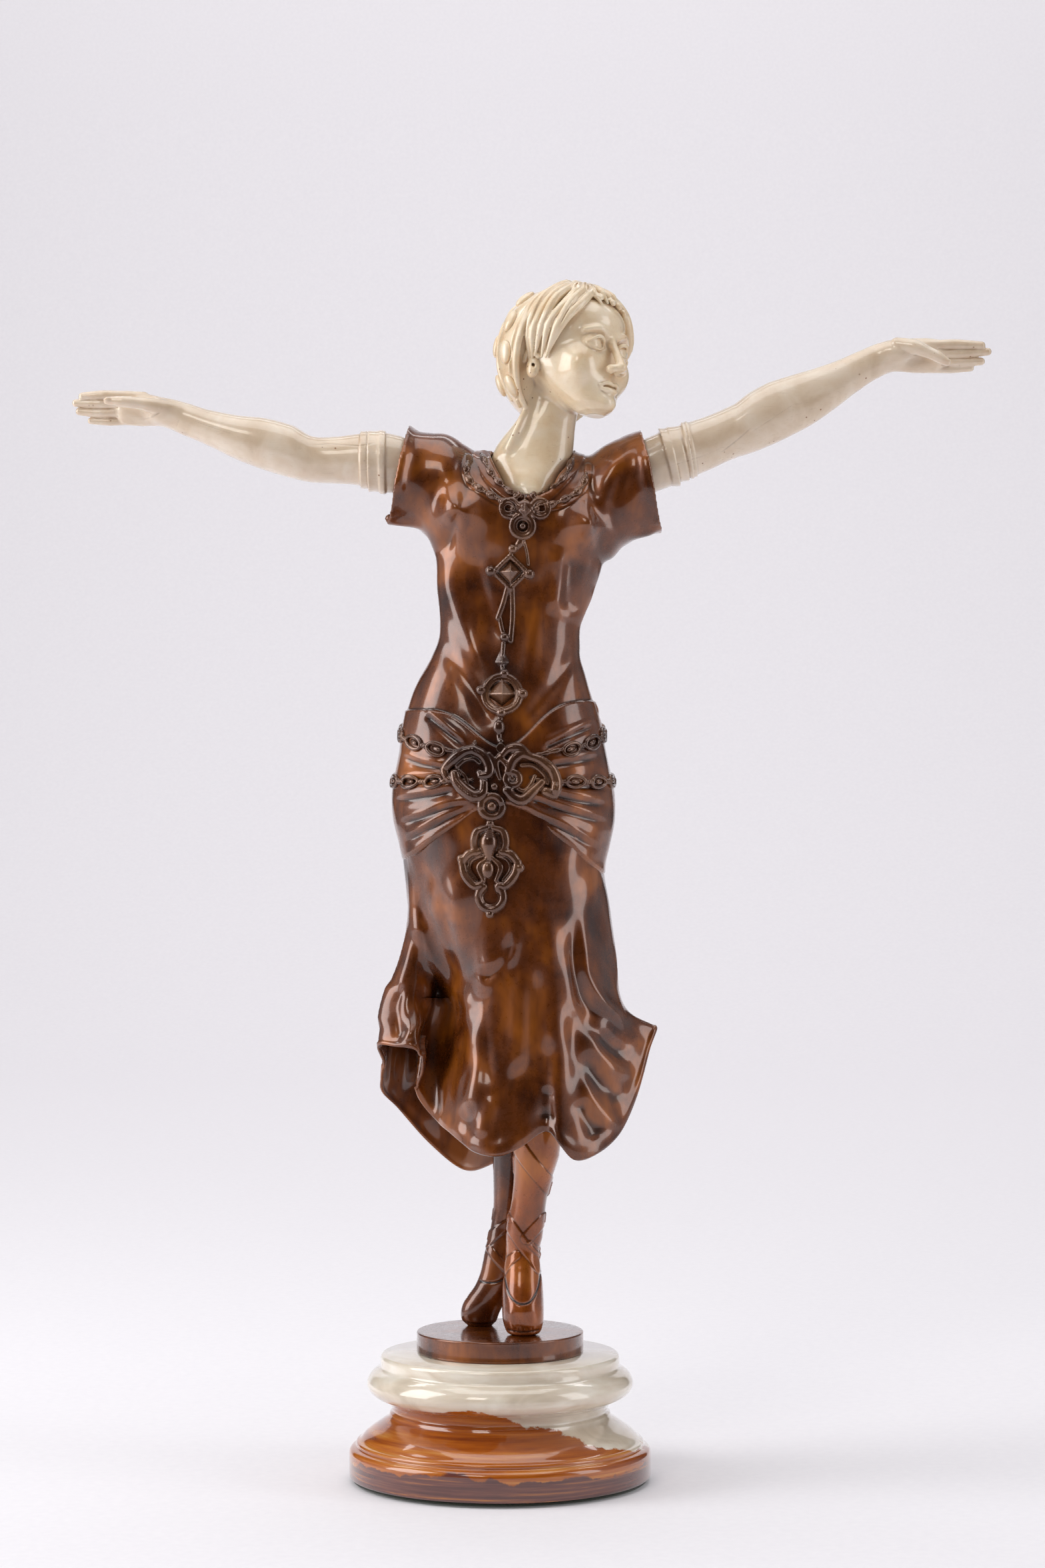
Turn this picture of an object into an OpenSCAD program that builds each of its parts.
/* [Plinth] */
// Radius of the drum that the plinth stands on
plinth_r = 64.3; // [54:0.1:78]
// Height of the turned onyx plinth without its felt
plinth_h = 52.5; // [44:0.5:64]
// Height of the straight wall of the drum
drum_h = 10.5; // [6:0.5:13]
// Radius of the plinth's flat top
plinth_top_r = 46.5; // [42:0.5:52]
// Radius of the narrowest part of the plinth
plinth_neck_r = 46; // [40:0.5:50]
// Thickness of the felt under the plinth
felt_t = 1.5; // [1:0.1:3]

/* [Bronze plate] */
// Radius of the round bronze plate that the feet stand on
plate_r = 35.5; // [32:0.5:40]
// Thickness of the bronze plate
plate_h = 9; // [7.5:0.5:12]

/* [Figure] */
// Height of the figure from the plate to the crown of the head
figure_h = 445; // [370:1:535]
// Wall of the cast bronze dress
wall = 3; // [2.4:0.1:3.6]
// Wall of the dress at its hem
hem_wall = 2; // [1.6:0.1:2.4]

/* [Fasteners] */
// Radius of the bolt that clamps the plate to the plinth
bolt_r = 4; // [3:0.25:5]
// Radius of the studs below the feet
stud_r = 2; // [1.6:0.1:2.4]
// Radius of the dowels that hold the ivory arms
arm_dowel_r = 2.5; // [2:0.1:3]
// Radius of the screw that holds the ivory bust
bust_screw_r = 2; // [1.6:0.1:2.4]
// Radius of the screws at the tops of the legs
leg_screw_r = 2; // [1.6:0.1:2.4]
// Radius of the pins behind the ornaments
ornament_pin_r = 0.8; // [0.6:0.1:1]
// Gap round a dowel, stud or screw in its hole
clearance = 0.15; // [0.1:0.05:0.25]
// Gap between two castings that meet
seam_gap = 0.25; // [0.2:0.05:0.4]

/* [Hidden] */

plate_z = felt_t + plinth_h;      // underside of the bronze plate
figure_z = plate_z + plate_h;     // top of the plate, where the feet stand
k = figure_h / 445;               // scale of the figure's own tables
EPS = 0.01;

// ---------------------------------------------------------------- helpers
function flat(lists) = [for (l = lists) for (p = l) p];
function mean(r) = [for (i = [0:2]) [for (p = r) 1] * [for (p = r) p[i]] / len(r)];
function catmull(a, b, c, d, t) = 0.5 * (2 * b + (c - a) * t
    + (2 * a - 5 * b + 4 * c - d) * t * t + (3 * b - a - 3 * c + d) * t * t * t);
function row_at(t, x, i = 0) =
    (i >= len(t) - 2 || (t[1][0] > t[0][0] ? x < t[i + 1][0] : x > t[i + 1][0]))
        ? i : row_at(t, x, i + 1);
// The row of table t at key x, on a smooth curve through its rows
function keyed(t, x) = let (i = row_at(t, x), b = t[i], c = t[i + 1])
    catmull(t[max(i - 1, 0)], b, c, t[min(i + 2, len(t) - 1)], (x - b[0]) / (c[0] - b[0]));
function spow(s, e) = sign(s) * pow(abs(s), e);
// A closed ring of n points: a superellipse between xl..xr and yf..yb at height z
function ring(n, z, xl, xr, yf, yb, inset = 0, e = 0.9) = [for (i = [0:n - 1])
    let (u = 360 * i / n, rx = (xr - xl) / 2 - inset, ry = (yb - yf) / 2 - inset)
        [(xl + xr) / 2 + rx * spow(sin(u), e), (yf + yb) / 2 - ry * spow(cos(u), e), z]];
function bell(x) = exp(-x * x);

function reversed(l) = [for (i = [len(l) - 1:-1:0]) l[i]];

// Closed solid over a stack of rings that all hold the same number of points. Seen from
// the last ring the points of a ring run anticlockwise.
module skin(rings) {
    n = len(rings[0]);
    m = len(rings);
    ends = [mean(rings[0]), mean(rings[m - 1])];
    function at(i, j) = i * n + (j % n);
    sides = flat([for (i = [0:m - 2]) flat([for (j = [0:n - 1])
        [[at(i, j), at(i + 1, j + 1), at(i, j + 1)], [at(i, j), at(i + 1, j), at(i + 1, j + 1)]]])]);
    low = [for (j = [0:n - 1]) [m * n, at(0, j), at(0, j + 1)]];
    high = [for (j = [0:n - 1]) [m * n + 1, at(m - 1, j + 1), at(m - 1, j)]];
    polyhedron(concat(flat(rings), ends), concat(sides, low, high), convexity = 10);
}

// ---------------------------------------------------------------- plinth
bore_gap = 0.5;                   // gap round the bolt in the stone
counterbore_r = 14;
counterbore_h = 14;
washer_t = 2;
washer_r = 11;
bolt_head_h = 5.5;
bolt_grip = 5;                    // thread of the bolt inside the plate
bead_r = 2.2;

function arc(cx, cy, r, a0, a1, n = 10) =
    [for (i = [0:n]) let (a = a0 + (a1 - a0) * i / n) [cx + r * cos(a), cy + r * sin(a)]];
// Half section of the plinth, from its foot up to its flat top
plinth_shoulder_r = plinth_r - 4.8;
torus_r = (plinth_h - drum_h) * 0.16;
torus_z = plinth_h - 2 * torus_r;
torus_x = plinth_top_r + 3.6;
scotia_z = drum_h + 2 * bead_r + 1.6;
scotia_h = torus_z - torus_r * 0.9 - scotia_z;
scotia = [for (i = [1:13]) let (t = i / 14)
    [plinth_shoulder_r + (plinth_neck_r - plinth_shoulder_r) * sin(90 * pow(t, 0.85))
        - 1.6 * sin(180 * t) * (1 - t), scotia_z + scotia_h * t]];
plinth_section = concat(
    [[0, 0], [plinth_r - 0.8, 0], [plinth_r, 0.8]],
    arc(plinth_r - bead_r, drum_h, bead_r, 0, 75, 6),
    [[plinth_r - 3, drum_h + bead_r + 0.2]],
    arc(plinth_r - 3 - 1.2, drum_h + bead_r + 1.1, 1.2, 0, 80, 5),
    [[plinth_shoulder_r, scotia_z]],
    scotia,
    [[plinth_neck_r, torus_z - torus_r * 0.9]],
    arc(torus_x, torus_z, torus_r, -75, 68, 14),
    [[plinth_top_r + 3.4, torus_z + torus_r + 0.6], [plinth_top_r + 3.4, torus_z + torus_r + 1.6]],
    arc(plinth_top_r + 0.6, plinth_h - 2.6, 2.4, 10, 80, 6),
    [[plinth_top_r, plinth_h], [0, plinth_h]]);

module onyx_plinth() {
    color("burlywood") translate([0, 0, felt_t]) difference() {
        rotate_extrude($fn = 96) polygon(plinth_section);
        translate([0, 0, -1]) cylinder(r = bolt_r + bore_gap, h = plinth_h + 2, $fn = 48);
        translate([0, 0, -1]) cylinder(r = counterbore_r, h = counterbore_h + 1, $fn = 64);
    }
}
felt_inset = 1.6;                 // how far the felt stops inside the plinth's edge
module felt_pad() {
    color("darkolivegreen") cylinder(r = plinth_r - felt_inset, h = felt_t, $fn = 96);
}
washer_z = felt_t + counterbore_h - washer_t;
module plinth_washer() {
    color("silver") translate([0, 0, washer_z]) difference() {
        cylinder(r = washer_r, h = washer_t, $fn = 48);
        translate([0, 0, -1]) cylinder(r = bolt_r + clearance, h = washer_t + 2, $fn = 32);
    }
}
module plinth_bolt() {
    color("silver") {
        translate([0, 0, washer_z - bolt_head_h])
            cylinder(r = bolt_r * 1.85, h = bolt_head_h, $fn = 6);
        translate([0, 0, washer_z - EPS])
            cylinder(r = bolt_r, h = plate_z + bolt_grip - washer_z, $fn = 32);
    }
}

// ---------------------------------------------------------------- bronze plate
toe_front = [10, -11.5];          // where the front foot meets the plate
toe_rear = [-8.5, 14];            // where the rear foot meets the plate
nut_r = stud_r * 2.1;
nut_h = 3;
stud_up = 11;                     // length of a stud inside the foot
stud_end = 0.6;                   // how far a stud stops above the plate's underside
module at_toes() {
    for (p = [toe_front, toe_rear]) translate([p[0] * k, p[1] * k, plate_z]) children();
}
module bronze_plate() {
    color("saddlebrown") difference() {
        translate([0, 0, plate_z]) rotate_extrude($fn = 96) polygon(concat(
            [[0, 0], [plate_r - 0.4, 0], [plate_r, 0.4]],
            arc(plate_r - 0.7, plate_h - 0.7, 0.7, 0, 90, 5), [[0, plate_h]]));
        translate([0, 0, plate_z - 1])
            cylinder(r = bolt_r + clearance, h = bolt_grip + 1.5, $fn = 32);
        at_toes() translate([0, 0, -1]) cylinder(r = stud_r + clearance, h = plate_h + 2, $fn = 24);
        at_toes() translate([0, 0, -1]) cylinder(r = nut_r + 0.4, h = nut_h + 1.4, $fn = 32);
    }
}
module toe_studs() {
    color("silver") at_toes() translate([0, 0, stud_end])
        cylinder(r = stud_r, h = plate_h + stud_up - stud_end, $fn = 24);
}
module toe_nuts() {
    color("goldenrod") at_toes() translate([0, 0, 0.2]) difference() {
        cylinder(r = nut_r, h = nut_h, $fn = 6);
        translate([0, 0, -1]) cylinder(r = stud_r + clearance / 3, h = nut_h + 2, $fn = 24);
    }
}

// ---------------------------------------------------------------- legs
// Rows of a leg: height above the plate, left, right, front and back of its section
front_leg_rows = [[0, 5, 15, -17, -6], [2.5, 2.4, 17.6, -18.8, -4], [6, 1.2, 18.5, -19.5, -1],
    [12, 0.9, 18.6, -19, 3.5], [20, 1.1, 18.2, -17, 6], [28, 2, 17.4, -14, 5.5],
    [34, 2.8, 16.6, -12.5, 4], [40, 2.6, 18, -12.5, 3], [47, 3.4, 18.8, -13, 2],
    [57, 5, 20, -14.5, 3], [67, 5.8, 22.6, -16.5, 4], [75, 5.6, 25.2, -18, 5],
    [95, 5.5, 27, -19, 5.5], [142, 6, 27, -19, 5.5]];
rear_leg_rows = [[0, -14, -3.5, 10.5, 17.5], [2, -16.2, -1.6, 8.6, 19.4], [5, -17, -0.5, 7.8, 20.2],
    [9, -16.2, 1.5, 7.4, 20.6], [12, -14.4, 4.2, 7.2, 20.8], [17, -11, 7, 7, 21],
    [22, -8.8, 9.2, 7, 21], [27, -7.6, 9.8, 7.2, 20.8], [32, -6.6, 9.2, 7.6, 20.4],
    [37, -5.2, 8.4, 8, 20], [42, -4.2, 8, 8.4, 19.6], [50, -3, 8.4, 8.2, 19.8],
    [62, -3, 10, 8, 21.5], [78, -3.6, 12, 7.6, 23.5], [95, -5, 12.5, 7.6, 25], [142, -8, 11, 7.6, 26]];
leg_sides = 18;
leg_step = 4;
function leg_rings(rows) = [for (z = [0, 1.2, each [leg_step:leg_step:142], 142])
    let (r = keyed(rows, z)) ring(leg_sides, z, r[1], r[2], r[3], r[4])];
leg_top = 142;                    // height of a leg's flat top
leg_screw_in = 12;                // thread of a leg screw inside the leg
front_top = [16.5, -6];           // middle of the front leg's top
rear_top = [1.5, 16.5];             // middle of the rear leg's top
module in_figure() {
    translate([0, 0, figure_z]) children();
}
module leg(rows, toe, top) {
    in_figure() difference() {
        skin([for (r = leg_rings(rows)) r * k]);
        translate([toe[0] * k, toe[1] * k, -1])
            cylinder(r = stud_r + clearance, h = stud_up + 1.5, $fn = 24);
        translate([top[0] * k, top[1] * k, leg_top * k - leg_screw_in - 0.5])
            cylinder(r = leg_screw_r + clearance, h = leg_screw_in + 2, $fn = 24);
    }
}
module front_leg() { color("sienna") leg(front_leg_rows, toe_front, front_top); }
module rear_leg() { color("sienna") leg(rear_leg_rows, toe_rear, rear_top); }

// ---------------------------------------------------------------- dress
// Rows of the dress over the body: height above the plate, left, right, front and back
body_rows = [[187, -40, 45, -31, 32], [197, -40.3, 44.2, -31, 32], [207, -42, 46, -31, 33],
    [217, -44.6, 48, -31, 34], [227, -45.2, 48, -30.5, 34], [237, -44, 46.4, -29.5, 33],
    [247, -42.2, 44.5, -28.5, 31], [257, -41, 42.5, -27, 28.5], [267, -38.5, 40, -25, 25],
    [277, -34.5, 37, -22.5, 21], [287, -29.2, 34, -20, 18], [297, -26, 33.2, -18.5, 16.5],
    [307, -26, 36.4, -18.5, 16.5], [317, -27, 41, -19.5, 17.5], [327, -27.3, 44, -21, 19],
    [337, -28.5, 45, -22.5, 20.5], [347, -28, 45, -22.5, 21], [357, -26, 43.5, -20, 20.5],
    [364, -21.5, 41, -16.5, 19], [370, -15, 37, -12.5, 17], [374.5, -7, 31.5, -7, 14]];
// Bust of the dress: x, height, how far it stands out, and its width
bust_bumps = [[-19, 347, 6.5, 10], [36.5, 342, 6.5, 10]];
function bump(x, z) = [for (b = bust_bumps) 1] * [for (b = bust_bumps)
    b[2] * bell((x - b[0]) / b[3]) * bell((z - b[1]) / (b[3] * (z > b[1] ? 1.3 : 0.8)))];
// One point of the body at angle u, where 0 is the front and 90 is the figure's left
function body_point(u, z, inset) = let (r = keyed(body_rows, z), rx = (r[2] - r[1]) / 2 - inset,
    ry = (r[4] - r[3]) / 2 - inset, x = (r[1] + r[2]) / 2 + rx * spow(sin(u), 0.9))
        [x, (r[3] + r[4]) / 2 - ry * spow(cos(u), 0.9) - (cos(u) > 0 ? cos(u) * bump(x, z) : 0), z];
// Depth of the dress's front at x and height z
function front_y(x, z) = let (r = keyed(body_rows, z), rx = (r[2] - r[1]) / 2,
    s = min(0.999, abs(x - (r[1] + r[2]) / 2) / rx), c = cos(asin(pow(s, 1 / 0.9))))
        (r[3] + r[4]) / 2 - (r[4] - r[3]) / 2 * pow(c, 0.9) - c * bump(x, z);
// Height of the seam between bodice and skirt: it follows the lower edge of the sash
function seam_z(u) = 198 + 27 * pow(max(0, cos(u)), 2.5) + 3 * sin(u + 180);

// Skirt: one column every entry, as [x, y] at three heights and [x, y, z] at the hem
skirt_high_z = 172;
skirt_mid_z = 140;
skirt_high = [[0, -31], [9, -31], [17, -30.5], [23, -29], [29, -26.5], [35, -22.5], [40, -18],
    [44, -12], [47, -5], [48, 2], [45, 12], [38, 22], [26, 30], [11, 34], [-2, 34.5], [-12, 33],
    [-22, 29.5], [-31, 23.5], [-37, 16], [-39.5, 8], [-40, 0], [-38, -7], [-35, -12], [-32, -15],
    [-29, -18], [-24, -22], [-17, -26], [-8, -29.5]];
skirt_mid = [[0, -31], [10, -31.5], [18, -31], [24, -30.5], [30, -28], [36, -24], [42, -20],
    [47, -14], [51, -7], [53, 1], [51, 13], [43, 25], [29, 34], [12, 38], [-3, 38], [-14, 36],
    [-27, 31], [-38, 23], [-46, 14], [-49.5, 5], [-49, -4], [-44, -11], [-37, -14], [-33, -11],
    [-31, -7], [-25, -10], [-18, -20], [-9, -28]];
hem = [[0, -38, 78.5], [10, -36, 82.5], [19, -33, 88], [24.5, -37, 83.5], [31.5, -35, 77],
    [40.5, -29, 80], [50.5, -20, 89], [57.5, -10, 106], [64, -2, 122], [67, 5, 128.5],
    [60, 20, 118], [49, 33, 100], [32, 43, 86], [12, 48, 76], [-4.5, 45, 66.5], [-16.5, 38, 65],
    [-31, 30, 77], [-44.5, 20, 93], [-51.5, 10, 102], [-50, 1, 113], [-52, -7, 121.5],
    [-44.5, -15, 122], [-34.5, -19, 120], [-33.5, -13, 111], [-36.5, -8, 101.5],
    [-29.5, -12, 90], [-20.5, -24, 85.5], [-10.5, -34, 79.5]];
columns = len(hem);
skirt_sides = 56;
web_z = 142;                      // underside of the web that the legs are screwed to
web_t = 5;
spigot_h = 6;
spigot_t = 2.2;
function column_u(i) = atan2(skirt_high[i][0] - 2, -(skirt_high[i][1] - 1.5));
function top_point(i, lift, inset) = let (u = column_u(i)) body_point(u, seam_z(u) + lift, inset);
function column(i) = [top_point(i, 0, 0), concat(skirt_high[i], skirt_high_z),
    concat(skirt_mid[i], skirt_mid_z), hem[i]];
// Point of column i at t, from 0 at the seam to 3 at the hem
function down(c, t) = let (i = min(2, floor(t)))
    catmull(c[max(0, i - 1)], c[i], c[i + 1], c[min(3, i + 2)], t - i);
// A ring of the skirt at t, smooth round the columns
function skirt_ring(t) = let (c = [for (i = [0:columns - 1]) down(column(i), t)]) around(c);
function around(c) = [for (j = [0:skirt_sides - 1])
    let (s = j * columns / skirt_sides, i = floor(s), n = columns)
        catmull(c[(i + n - 1) % n], c[i], c[(i + 1) % n], c[(i + 2) % n], s - i)];
// The same ring moved inwards by w, square to its own outline
function inward(r, w) = let (n = len(r)) [for (j = [0:n - 1])
    let (d = r[(j + 1) % n] - r[(j + n - 1) % n], l = norm([d[0], d[1]]))
        r[j] + [-d[1], d[0], 0] * w / l];
function level(r, z) = [for (p = r) [p[0], p[1], z]];
skirt_rows = 16;
module skirt() {
    top = lip_ring(-seam_gap / k / 2, 0);
    step_in = wall / k + clearance / k;
    outside = [for (i = [1:skirt_rows]) skirt_ring(3 * i / skirt_rows)];
    well = [for (z = [web_z + web_t, 160, 180])
        level(inward(skirt_ring((200 - z) / 30), wall / k), z)];
    spigot = [lip_ring(spigot_h / k, step_in + spigot_t / k), lip_ring(spigot_h / k, step_in),
        lip_ring(spigot_h / k / 2, step_in), lip_ring(-seam_gap / k / 2, step_in)];
    hollow = concat([for (t = [3:-0.25:2]) inward(skirt_ring(t), (t > 2.9 ? hem_wall : wall) / k)],
        [level(inward(skirt_ring(1.9), wall / k), web_z)]);
    color("sienna") in_figure() difference() {
        skin([for (r = reversed(concat(well, spigot, [top], outside, hollow)))
            r * k]);
        seam_pin_holes();
        pendant_pin_holes();
        for (p = [front_top, rear_top]) translate([p[0] * k, p[1] * k, web_z * k - 5])
            cylinder(r = leg_screw_r + clearance, h = web_t * k + 20, $fn = 24);
    }
}

// ---------------------------------------------------------------- screws and pins of the dress
screw_head_r = 2;                 // radius of a screw's head, in shank radii
leg_screw_head_h = 2.5;
module leg_screws() {
    head_z = (web_z + web_t) * k;
    color("silver") in_figure() for (p = [front_top, rear_top])
        translate([p[0] * k, p[1] * k, 0]) {
            translate([0, 0, leg_top * k - leg_screw_in])
                cylinder(r = leg_screw_r, h = head_z - leg_top * k + leg_screw_in + EPS, $fn = 24);
            translate([0, 0, head_z])
                cylinder(r = leg_screw_r * screw_head_r, h = leg_screw_head_h, $fn = 32);
        }
}
seam_pin_r = 0.9;
seam_pin_up = 3;                  // height of a seam pin above the seam
seam_pin_sunk = 0.4;              // how far a seam pin's end lies below the surface
seam_pin_angles = [30, 100, 170, 240, 310];
module at_seam_pins(sunk) {
    for (u = seam_pin_angles) {
        p = body_point(u, seam_z(u) + seam_pin_up / k, sunk / k) * k;
        translate(p) rotate([0, 90, u + 90]) children();
    }
}
module seam_pin_holes() {
    at_seam_pins(-1) cylinder(r = seam_pin_r + clearance, h = wall + spigot_t + 3, $fn = 16);
}
module seam_pins() {
    color("sienna") in_figure() at_seam_pins(seam_pin_sunk)
        cylinder(r = seam_pin_r, h = wall + spigot_t - seam_pin_sunk, $fn = 16);
}

// ---------------------------------------------------------------- rings that stand across an arm
// A row is [x, z] of the ring's top, [x, z] of its bottom, its front and its back.
// Side is 1 for a limb that points to +X and -1 for one that points to -X.
function limb_ring(n, r, side, inset = 0) = let (top = [r[0], r[1]], low = [r[2], r[3]],
    mid = (top + low) / 2, half = (top - low) / 2, f = 1 - inset / norm(half),
    ry = (r[5] - r[4]) / 2 - inset) [for (i = [0:n - 1]) let (a = 360 * i / n)
        [mid[0] + half[0] * f * cos(a), (r[4] + r[5]) / 2 - side * ry * sin(a),
            mid[1] + half[1] * f * cos(a)]];
// Rows with further rows between them, on a smooth curve
function smooth(rows, per) = let (m = len(rows)) concat([for (i = [0:m - 2]) each [for (j = [0:per - 1])
    catmull(rows[max(0, i - 1)], rows[i], rows[i + 1], rows[min(m - 1, i + 2)], j / per)]], [rows[m - 1]]);
// Rows of a limb that all stand upright: x, bottom, top, front, back
function upright(rows) = [for (r = rows) [r[0], r[2], r[0], r[1], r[3], r[4]]];

// ---------------------------------------------------------------- bodice
sleeve_right_rows = [[-6, 371, -12, 338, -16, 16], [-14, 377.5, -27, 333.5, -17, 17],
    [-22, 381.5, -32, 339, -17.5, 17.5], [-30, 382, -37, 343, -17.5, 17.5],
    [-35, 383, -42, 344.3, -18, 18], [-38.5, 385.5, -47.5, 344.5, -19.5, 19.5]];
sleeve_left_rows = [[28, 370, 32, 335, -16, 17], [37, 372.5, 46.5, 329.5, -17.5, 18],
    [44, 376.5, 52, 334, -18, 18], [52, 380, 58, 337.5, -18, 18],
    [57, 383, 62, 338.8, -18.5, 18.5], [61, 383, 67, 342.3, -20, 20]];
// Floors of the sockets in the sleeves, as rows
socket_right = [-34, 381, -41, 347, -15.5, 15.5];
socket_left = [55.5, 380, 60.5, 342.5, -15.5, 15.5];
arm_axis_right = [0, 368.8];      // y and z of the right arm's dowel
arm_axis_left = [0, 367.5];       // y and z of the left arm's dowel
sleeve_sides = 28;
sleeve_rim = 1.6;                 // thickness of a sleeve's edge
hollow_z = 342;                   // top of the hollow in the bodice
bodice_top = 374.5;
bodice_rows = 20;
hollow_rows = 7;

module sleeve(rows, socket, side) {
    n = len(rows);
    outside = [for (r = smooth(rows, 4)) limb_ring(sleeve_sides, r, side)];
    mouth = limb_ring(sleeve_sides, rows[n - 1], side, sleeve_rim / k);
    skin([for (r = concat(outside, [mouth, limb_ring(sleeve_sides, socket, side)])) r * k]);
}
function body_ring(z0, s, inset) = around([for (i = [0:columns - 1]) let (u = column_u(i), a = seam_z(u)
    + seam_gap / k / 2) body_point(u, a + (z0 - a) * s, inset)]);
// A ring of the dress that runs at a height over the seam
function lip_ring(up, inset) = around([for (i = [0:columns - 1]) top_point(i, up, inset)]);
module bodice_shell() {
    rows = hollow_rows;
    inside = concat([for (i = [rows:-1:1]) body_ring(hollow_z, (i + 0.5) / (rows + 0.5), wall / k)],
        [for (lift = [spigot_h + 0.3, spigot_h / 2, seam_gap / 2]) lip_ring(lift / k, wall / k)]);
    outside = [for (i = [0:bodice_rows]) body_ring(bodice_top, i / bodice_rows, 0)];
    skin([for (r = concat(inside, outside)) r * k]);
}

// ---------------------------------------------------------------- bust
// Rows of the chest and neck: height, left, right, front, back
chest_rows = [[354, 8, 17, -19.5, -2], [356, 4, 21, -19, 0], [358.5, 1.5, 23, -18.2, 2],
    [363, -0.5, 25.2, -16.5, 5], [367, -2.2, 27.2, -14.5, 7], [371, -3, 29, -12.5, 9],
    [374, -1.5, 30, -11, 11], [377, 1, 30.4, -10, 12]];
neck_rows = [[377, 1, 30.4, -10, 12], [382, 4, 31, -9.5, 12], [388, 8, 32, -9, 12.5],
    [394, 11, 34, -8, 13.5], [402, 14, 38, -6, 15]];
// Rows of the head with its hair and cap: height over the chin, half width, front, back
head_rows = [[0, 7, -24, -8], [3, 11, -26, 6], [8, 16, -27, 16], [14, 21.5, -27, 24],
    [22, 25.5, -27, 29], [30, 27, -28, 30.5], [38, 27, -28.5, 30.5], [45, 25, -27, 28],
    [51, 19.5, -21, 22], [55, 11.5, -12, 13], [57, 4, -4, 5]];
// Raised features of the face: height over the chin, height, width and how far they stand out
face_bumps = [[4, 3, 5, 1.5], [11, 1.6, 6, 1], [14.5, 1.6, 5, 0.9], [20, 2.8, 3.6, 4],
    [25, 3.5, 2.4, 2.6], [30, 3, 14, 1]];
head_h = 57;
head_centre = [29.5, 0, 416];
head_turn = 38;                   // turn of the head towards the figure's left
head_roll = 10;                   // roll of its crown to the same side
chest_sides = 28;
head_sides = 36;
pocket_deep = 60;                 // reach of the neckline's cut in front of the chest

function face_bump(x, z) = [for (b = face_bumps) 1] * [for (b = face_bumps)
    b[3] * bell(x / b[2]) * bell((z - b[0]) / b[1])];
function head_ring(z) = let (r = keyed(head_rows, z)) [for (i = [0:head_sides - 1])
    let (u = 360 * i / head_sides, x = r[1] * spow(sin(u), 0.9), ry = (r[3] - r[2]) / 2)
        [x, (r[2] + r[3]) / 2 - ry * spow(cos(u), 0.9) - (cos(u) > 0 ? face_bump(x, z) : 0),
            z - head_h / 2]];
module at_head() {
    translate(head_centre * k) rotate([0, head_roll, 0]) rotate([0, 0, head_turn]) children();
}
bust_axis = [13, -4];             // x and y of the screw under the bust
bust_screw_in = 12;               // thread of the screw inside the bust
bust_floor = chest_rows[0][0];
module bust() {
    rows = concat(smooth(chest_rows, 2), [for (i = [1:len(neck_rows) - 1]) neck_rows[i]]);
    color("wheat") in_figure() difference() {
        union() {
            skin([for (r = rows) ring(chest_sides, r[0], r[1], r[2], r[3], r[4]) * k]);
            at_head() skin([for (z = [0, 1.5, each [3:3:54], 55.5, 57]) head_ring(z) * k]);
        }
        translate([bust_axis[0] * k, bust_axis[1] * k, bust_floor * k - 1])
            cylinder(r = bust_screw_r + clearance, h = bust_screw_in + 1.5, $fn = 24);
    }
}
// The space that the bust takes in the bodice, open to the front
module neckline() {
    gap = seam_gap / k;
    lowest = chest_rows[0];
    highest = [381, 1, 30.4, -10, 14];
    rows = concat([[lowest[0] - gap, lowest[1], lowest[2], lowest[3], lowest[4]]],
        [for (i = [1:len(chest_rows) - 1]) chest_rows[i]], [highest]);
    skin([for (r = smooth(rows, 2)) let (mid = (r[3] + r[4]) / 2)
        [for (p = ring(chest_sides, r[0], r[1], r[2], r[3], r[4], -gap))
            p[1] < mid - EPS ? [p[0], p[1] - pocket_deep, p[2]] : p] * k]);
}
module bust_screw() {
    color("silver") in_figure() translate([bust_axis[0] * k, bust_axis[1] * k, 0]) {
        translate([0, 0, hollow_z * k - 2.5]) cylinder(r = bust_screw_r * screw_head_r, h = 2.5, $fn = 32);
        translate([0, 0, hollow_z * k - EPS])
            cylinder(r = bust_screw_r, h = (bust_floor - hollow_z) * k + bust_screw_in, $fn = 24);
    }
}

module dowel_at(axis, x0, x1, r) {
    translate([x0 * k, axis[0] * k, axis[1] * k]) rotate([0, 90, 0])
        cylinder(r = r, h = (x1 - x0) * k, $fn = 24);
}
// Ends of the arm dowels along X
dowel_right = [-50, -22];
dowel_left = [44, 72];
module arm_dowels() {
    color("silver") in_figure() {
        dowel_at(arm_axis_right, dowel_right[0], dowel_right[1], arm_dowel_r);
        dowel_at(arm_axis_left, dowel_left[0], dowel_left[1], arm_dowel_r);
    }
}
module dowel_holes() {
    dowel_at(arm_axis_right, dowel_right[0] - 0.5, dowel_right[1] + 0.5, arm_dowel_r + clearance);
    dowel_at(arm_axis_left, dowel_left[0] - 0.5, dowel_left[1] + 0.5, arm_dowel_r + clearance);
}
module bodice() {
    color("sienna") in_figure() difference() {
        union() {
            bodice_shell();
            sleeve(sleeve_right_rows, socket_right, -1);
            sleeve(sleeve_left_rows, socket_left, 1);
        }
        neckline();
        dowel_holes();
        translate([bust_axis[0] * k, bust_axis[1] * k, hollow_z * k - 1])
            cylinder(r = bust_screw_r + clearance, h = (bust_floor - hollow_z) * k + 2, $fn = 24);
        seam_pin_holes();
        ornament_pin_holes();
    }
}

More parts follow.
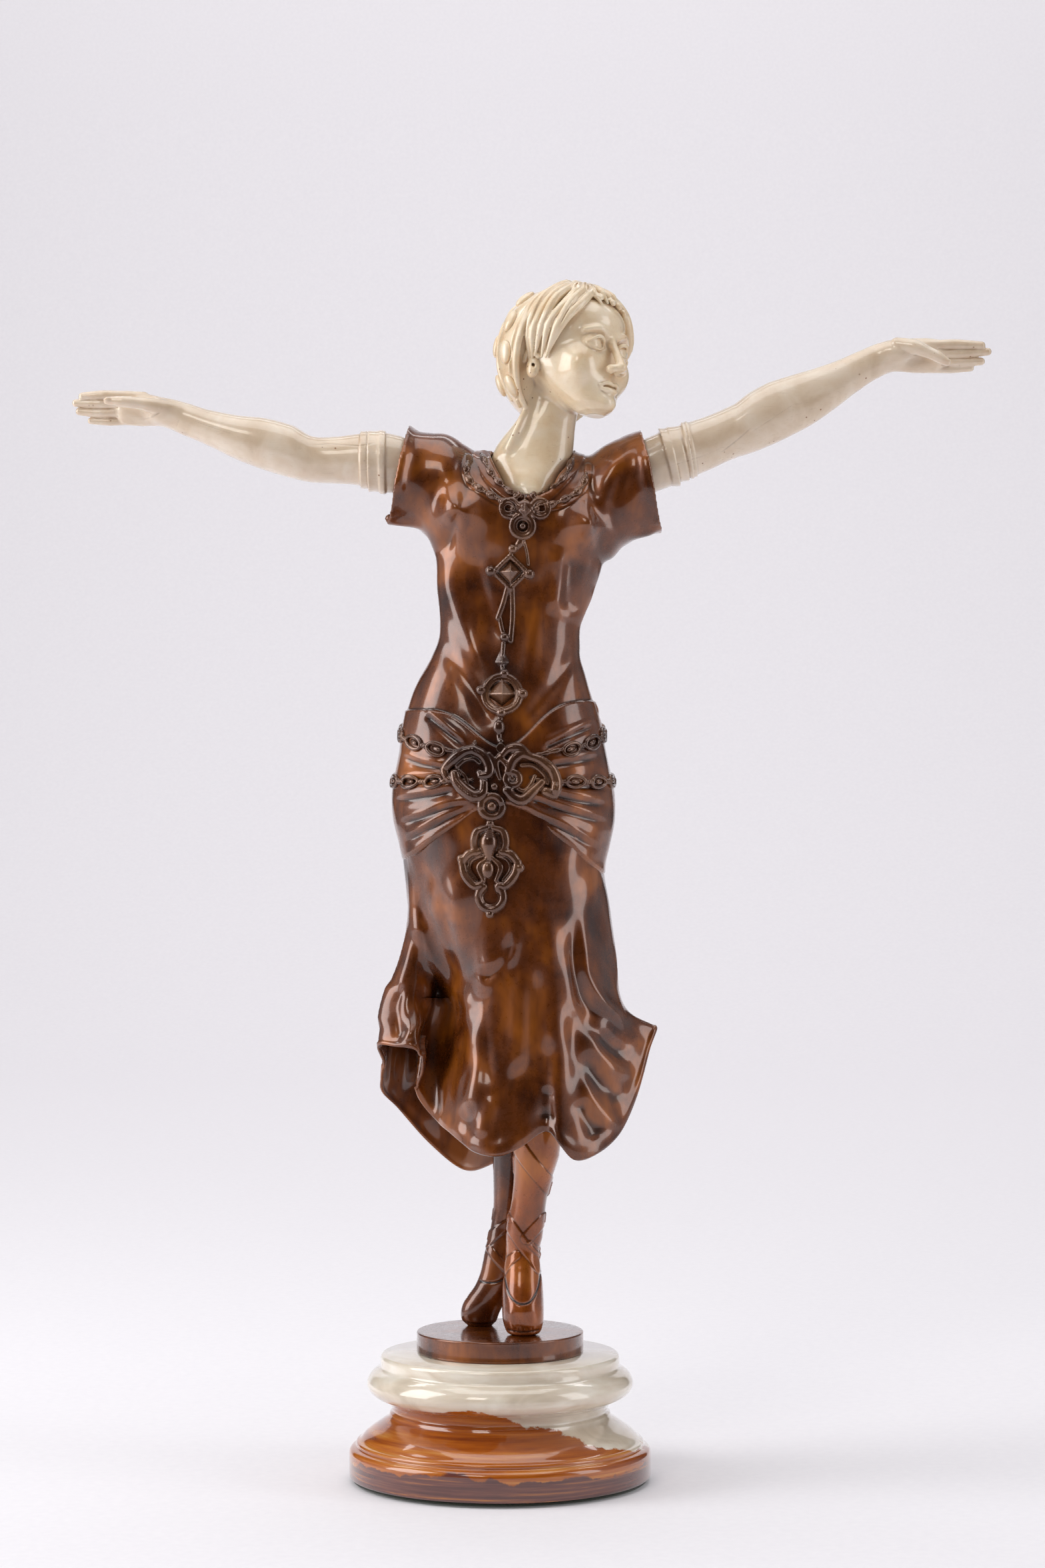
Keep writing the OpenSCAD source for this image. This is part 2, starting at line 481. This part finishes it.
// ---------------------------------------------------------------- arms
right_arm_rows = concat([[-35, 378.8, -39.2, 359.4, -10, 10], [-39, 381.2, -43, 357.6, -11.6, 11.6]],
    upright([[-50, 357.2, 382.5, -12.3, 12.3], [-60, 360, 382, -11.5, 11.5], [-70, 360.8, 380.8, -10.5, 10.5],
    [-80, 361.3, 381, -10, 10.5], [-88, 363, 385.5, -11, 11.5], [-100, 366.5, 388.7, -11, 12],
    [-112, 371, 390, -10, 11], [-125, 377.2, 392.5, -8, 9.5], [-135, 381.5, 395.7, -6.5, 8.5],
    [-144, 385.2, 397.8, -5, 8], [-154, 385.5, 399.8, -4, 7], [-162, 386, 400.5, -3.2, 6],
    [-166, 387, 399.5, -2.2, 5]]));
left_arm_rows = concat([[56.4, 377.4, 59.5, 358.6, -10, 10], [61, 380, 63.3, 356.4, -11.6, 11.6]],
    upright([[69, 358.3, 383.2, -12, 12], [80, 362.8, 386.8, -11.5, 11.5], [90, 367, 390.3, -11, 11.5],
    [100, 371.5, 394.8, -11, 11.5], [106, 373.5, 399.5, -11, 12], [114, 376.6, 403.8, -10.5, 12],
    [124, 381.2, 407, -9.3, 11], [134, 386.6, 410, -7.8, 10], [144, 393.7, 413.5, -6.4, 9],
    [154, 401.2, 417.8, -5.4, 8], [162, 406.2, 421, -4.8, 7.4], [168, 408.6, 422.4, -4.4, 7],
    [178, 408.1, 423, -3.8, 6.4], [187, 408.5, 422.8, -3, 5.6], [191, 409.5, 421.5, -2.2, 4.8]]));
// Fingers, each as three points on its axis and its radius
right_fingers = [[[-160, 1.5, 398], [-171, 0.6, 398.3], [-178, 1, 398], 1.9],
    [[-160, 2, 394.7], [-172, 1.2, 394.9], [-180.8, 1.8, 395.2], 1.9],
    [[-160, 2.6, 391.4], [-171, 2, 391.4], [-179.6, 2.6, 391.8], 1.8],
    [[-160, 3.2, 388.4], [-168, 3, 388], [-175, 3.4, 387.9], 1.7],
    [[-142, -2, 393], [-154, -5.6, 393.6], [-165, -6.4, 394.6], 2.1]];
left_fingers = [[[184, 1.5, 419.8], [196, 0.8, 420], [205.3, 1.4, 419.8], 2.1],
    [[184, 2, 416.2], [198, 1.6, 416.2], [208.4, 2.2, 417.2], 2],
    [[184, 2.6, 412.9], [197, 2.2, 412.6], [205.6, 2.8, 413], 1.8],
    [[184, 3.2, 410.4], [194, 3, 410.2], [201.2, 3.4, 410.4], 1.7],
    [[170, -2, 418], [182, -6, 417], [190.6, -6.6, 413.6], 2.2]];
arm_sides = 20;
// Armlet ridges: x at the ridge's top and bottom, how far it stands out, and its half length
armlet_ridges_right = [[-58, -58, 0.8, 1.4], [-53.5, -53.5, 1.2, 2.2], [-49.8, -49.8, 0.6, 1]];
armlet_ridges_left = [[69.5, 75.5, 1, 1.8], [78.5, 83.5, 0.7, 1.2]];
function ridge(ridges, x, up) = [for (g = ridges) 1] * [for (g = ridges)
    g[2] * bell((x - g[0] * up - g[1] * (1 - up)) / g[3])];
function armlet(ring, ridges) = let (c = mean(ring), top = max([for (p = ring) p[2]]),
    low = min([for (p = ring) p[2]])) [for (p = ring) let (d = [0, p[1] - c[1], p[2] - c[2]])
        p + d / norm(d) * ridge(ridges, p[0], (p[2] - low) / (top - low))];
module arm(rows, fingers, ridges, side, axis, dowel) {
    difference() {
        union() {
            skin([for (r = smooth(rows, 4)) armlet(limb_ring(arm_sides, r, side), ridges) * k]);
            for (f = fingers) hull() for (i = [0:2]) translate(f[i] * k)
                sphere(r = f[3] * k, $fn = 12);
        }
        dowel_at(axis, dowel[0] - 0.5, dowel[1] + 0.5, arm_dowel_r + clearance);
    }
}
module right_arm() {
    color("wheat") in_figure()
        arm(right_arm_rows, right_fingers, armlet_ridges_right, -1, arm_axis_right, dowel_right);
}
module left_arm() {
    color("wheat") in_figure()
        arm(left_arm_rows, left_fingers, armlet_ridges_left, 1, arm_axis_left, dowel_left);
}

// ---------------------------------------------------------------- ornaments
strand_r = 1.5;                   // radius of a strand's links
lift = 1.7;                       // how far a strand's middle stands off the dress
// A point on the front of the dress at x and height z
function on_front(x, z, off = lift) = [x, front_y(x, z) - off, z];
function on_side(u, z, off = lift) = body_point(u, z, -off);
module rod(p, q, r) {
    d = q - p;
    translate(p) rotate([0, acos(d[2] / norm(d)), atan2(d[1], d[0])])
        cylinder(r = r, h = norm(d), $fn = 16);
}
// Slopes of the dress's front at x and height z, across and up
function slope_x(x, z) = (front_y(x + 1, z) - front_y(x - 1, z)) / 2;
function slope_z(x, z) = (front_y(x, z + 1) - front_y(x, z - 1)) / 2;
// Stands children, drawn with +Z outwards, square on the dress at x and height z
module on_dress(x, z, off) {
    translate(on_front(x, z, off) * k)
        rotate([90 - atan(slope_z(x, z)), 0, atan(slope_x(x, z))]) children();
}
module loop(x, z, r, t) {
    on_dress(x, z, lift) rotate_extrude($fn = 32) translate([r * k, 0]) circle(r = t * k, $fn = 16);
}
// Points spread evenly along a polyline of [x, z] on the front of the dress
function along(line, step) = [for (i = [0:len(line) - 2])
    let (a = line[i], b = line[i + 1], m = max(1, round(norm(b - a) / step)))
        for (j = [0:m - 1]) let (q = a + (b - a) * j / m) on_front(q[0], q[1])];

// Pins behind the ornaments as [x, z] on the dress
collar_pins = [[-2, 361.5], [23, 358], [-10, 358.5], [27, 351.5]];
brooch_pin = [10.5, 347.5];
chest_pins = [[4.5, 322], [1, 270.5]];
girdle_pins = [70, 180, 290];
buckle_pins = [[-13, 236.5], [13, 235.5]];
pendant_pins = [[-4, 211], [-3.5, 197]];
pin_back = 3.4;                   // reach of an ornament's pin behind the surface
function girdle_high(u) = 255.5 - 12 * max(0, cos(u));
girdle_low = 234.5;
pin_front = 1.2;                  // reach of a pin in front of the surface
module front_pin(p, r, extra) {
    q = on_front(p[0], p[1], 0) * k;
    translate([q[0], q[1] + pin_back + extra, q[2]]) rotate([90, 0, 0])
        cylinder(r = r, h = pin_back + pin_front + 2 * extra, $fn = 16);
}
module side_pin(u, r, extra) {
    q = on_side(u, girdle_high(u), 0) * k;
    translate(q) rotate([0, 90, u - 90]) translate([0, 0, -pin_back - extra])
        cylinder(r = r, h = pin_back + pin_front + 2 * extra, $fn = 16);
}
module front_pins(pins, r, extra) {
    for (p = pins) front_pin(p, r, extra);
}
module girdle_side_pins(r, extra) {
    for (u = girdle_pins) side_pin(u, r, extra);
}
bodice_pins = concat(collar_pins, [brooch_pin], chest_pins, buckle_pins);
hole_r = ornament_pin_r + clearance;
hole_extra = 0.2;                 // how much longer a pin's hole is than the pin, at each end
module ornament_pin_holes() {
    front_pins(bodice_pins, hole_r, hole_extra);
    girdle_side_pins(hole_r, hole_extra);
}
module pendant_pin_holes() { front_pins(pendant_pins, hole_r, hole_extra); }
module ornament_pins() {
    color("dimgray") in_figure() {
        front_pins(concat(bodice_pins, pendant_pins), ornament_pin_r, 0);
        girdle_side_pins(ornament_pin_r, 0);
    }
}

// The collar's strands as [x, y, z], because they cross from the chest onto the sleeves
collar_lines = [[[-6.5, -14, 368], [-4.5, -17.4, 364.5], [-2, -19.4, 361.5], [1, -20.9, 358.8],
        [4.3, -20.5, 355.8]],
    [[-13, -14.8, 370], [-14, -17, 366], [-14, -18, 363], [-12, -19.2, 360], [-10, -20.3, 358.5],
        [-6, -21.9, 356], [-2.6, -22.8, 353.2]],
    [[30.5, -12, 370], [30, -15, 364.5], [27, -18.8, 361], [23, -20.8, 358], [18.2, -21, 355.2]],
    [[36, -16.8, 364], [35, -18.2, 360], [33, -20, 356], [30, -21.8, 353.5], [27, -22.8, 351.5],
        [23.4, -23.4, 349.6]]];
// Lines of the ornaments as [x, z] on the front of the dress
chest_line = [[8.6, 333.8], [5.5, 331.5], [4.5, 322], [4, 316], [3, 300], [2, 294.5], [1, 284],
    [2, 279], [1, 270.5], [0.7, 262.5], [-0.5, 256.5], [0.5, 250]];
buckle_line = [[-21, 237], [-13, 236.5], [-5, 236], [4, 236], [13, 235.5], [21, 235]];
// Rings of the ornaments as [x, z, radius]
brooch_loops = [[11, 354.5, 3.2], [4.6, 349, 3.4], [16.6, 348, 3.2], [9.5, 341, 4.2]];
chest_loops = [[4.5, 322, 6], [1, 270.5, 7.2]];
buckle_loops = [[-16.5, 241, 4], [-15.5, 231.5, 3.6], [-7.5, 240.5, 3.4], [-7.2, 230.5, 3.2],
    [7, 240.5, 3.4], [16, 239.5, 3.8], [15, 230.5, 3.6], [6.6, 230.8, 3.2], [-3.3, 222.7, 4.4]];
pendant_loops = [[-4, 209, 4.6], [-10.2, 199.5, 3.4], [2.6, 197.6, 3.2], [-4, 185.5, 4.6]];
// Studs as [x, z, radius at the dress, radius outside, height]
brooch_stud = [10.5, 347.5, 4.6, 2, 4];
chest_studs = [[4.5, 322, 4.4, 1, 4], [-3.2, 322.5, 2.4, 1, 3], [12, 321, 2.4, 1, 3],
    [1, 270.5, 5, 1, 4.4], [-7.9, 272, 2.3, 1, 2.8], [9.8, 270.5, 2.3, 1, 2.8]];
pendant_studs = [[-4, 199.6, 3, 1.4, 4], [-15.2, 201.4, 2, 1, 2.6], [7.6, 197.8, 2, 1, 2.6]];
pendant_drop = [[-4, 215.6], [-4, 179.6]];    // ends of the pendant's upright rod
pendant_arm = [[-15.2, 201.4], [7.6, 197.8]]; // ends of its cross rod
link_step = 4;                    // spacing of a strand's links
rod_r = 1;
girdle_front = 38;                // angle at which the girdle's rows start beside the buckle
girdle_step = 5;

module line(points, step = link_step) {
    last = points[len(points) - 1];
    linked_tube([for (p = concat(along(points, step), [on_front(last[0], last[1])])) p * k],
        strand_r * k, rod_r * k);
}
module stud(s) {
    on_dress(s[0], s[1], 0.5) cylinder(r1 = s[2] * k, r2 = s[3] * k, h = s[4] * k, $fn = 32);
}
module bar(a, b) { rod(on_front(a[0], a[1]) * k, on_front(b[0], b[1]) * k, rod_r * k); }
// A ring of n points round p, square to the direction t
function tube_ring(p, t, r, n = 6) =
    let (d = t / norm(t), side = abs(d[2]) > 0.7 ? [0, -1, 0] : [0, 0, 1],
        c = cross(side, d), e = c / norm(c), f = cross(d, e))
        [for (i = [0:n - 1]) let (a = 360 * i / n) p + r * (cos(a) * e + sin(a) * f)];
// A closed tube along points whose radius alternates between big and small
module linked_tube(points, big, small) {
    m = len(points);
    skin([for (i = [0:m - 1]) tube_ring(points[i],
        points[min(m - 1, i + 1)] - points[max(0, i - 1)], i % 2 == 0 ? big : small)]);
}
module collar_chain() {
    color("gray") in_figure() difference() {
        union() for (l = collar_lines)
            linked_tube([for (p = smooth(l, 2)) p * k], strand_r * k, rod_r * k);
        front_pins(collar_pins, hole_r, hole_extra);
    }
}
module brooch() {
    color("gray") in_figure() difference() {
        union() {
            stud(brooch_stud);
            for (l = brooch_loops) loop(l[0], l[1], l[2], 1.2);
        }
        front_pins([brooch_pin], hole_r, hole_extra);
    }
}
module chest_chain() {
    color("gray") in_figure() difference() {
        union() {
            line(chest_line, 2.5);
            for (s = chest_studs) stud(s);
            for (l = chest_loops) loop(l[0], l[1], l[2], 1.1);
        }
        front_pins(chest_pins, hole_r, hole_extra);
    }
}
module girdle_chain() {
    angles = [girdle_front : girdle_step : 360 - girdle_front];
    color("gray") in_figure() difference() {
        union() {
            linked_tube([for (u = angles) on_side(u, girdle_high(u)) * k], strand_r * k, rod_r * k);
            linked_tube([for (u = angles) on_side(u, girdle_low) * k], strand_r * k, rod_r * k);
        }
        girdle_side_pins(hole_r, hole_extra);
    }
}
module girdle_buckle() {
    color("gray") in_figure() difference() {
        union() {
            line(buckle_line);
            for (l = buckle_loops) loop(l[0], l[1], l[2], 1.1);
            bar([-0.5, 236], [-2.6, 227]);
        }
        front_pins(buckle_pins, hole_r, hole_extra);
    }
}
module pendant() {
    color("gray") in_figure() difference() {
        union() {
            bar(pendant_drop[0], pendant_drop[1]);
            bar(pendant_arm[0], pendant_arm[1]);
            for (s = pendant_studs) stud(s);
            for (l = pendant_loops) loop(l[0], l[1], l[2], 1.1);
        }
        front_pins(pendant_pins, hole_r, hole_extra);
    }
}

felt_pad();
onyx_plinth();
plinth_bolt();
plinth_washer();
bronze_plate();
toe_studs();
toe_nuts();
front_leg();
rear_leg();
leg_screws();
skirt();
bodice();
seam_pins();
bust();
bust_screw();
right_arm();
left_arm();
arm_dowels();
collar_chain();
brooch();
chest_chain();
girdle_chain();
girdle_buckle();
pendant();
ornament_pins();
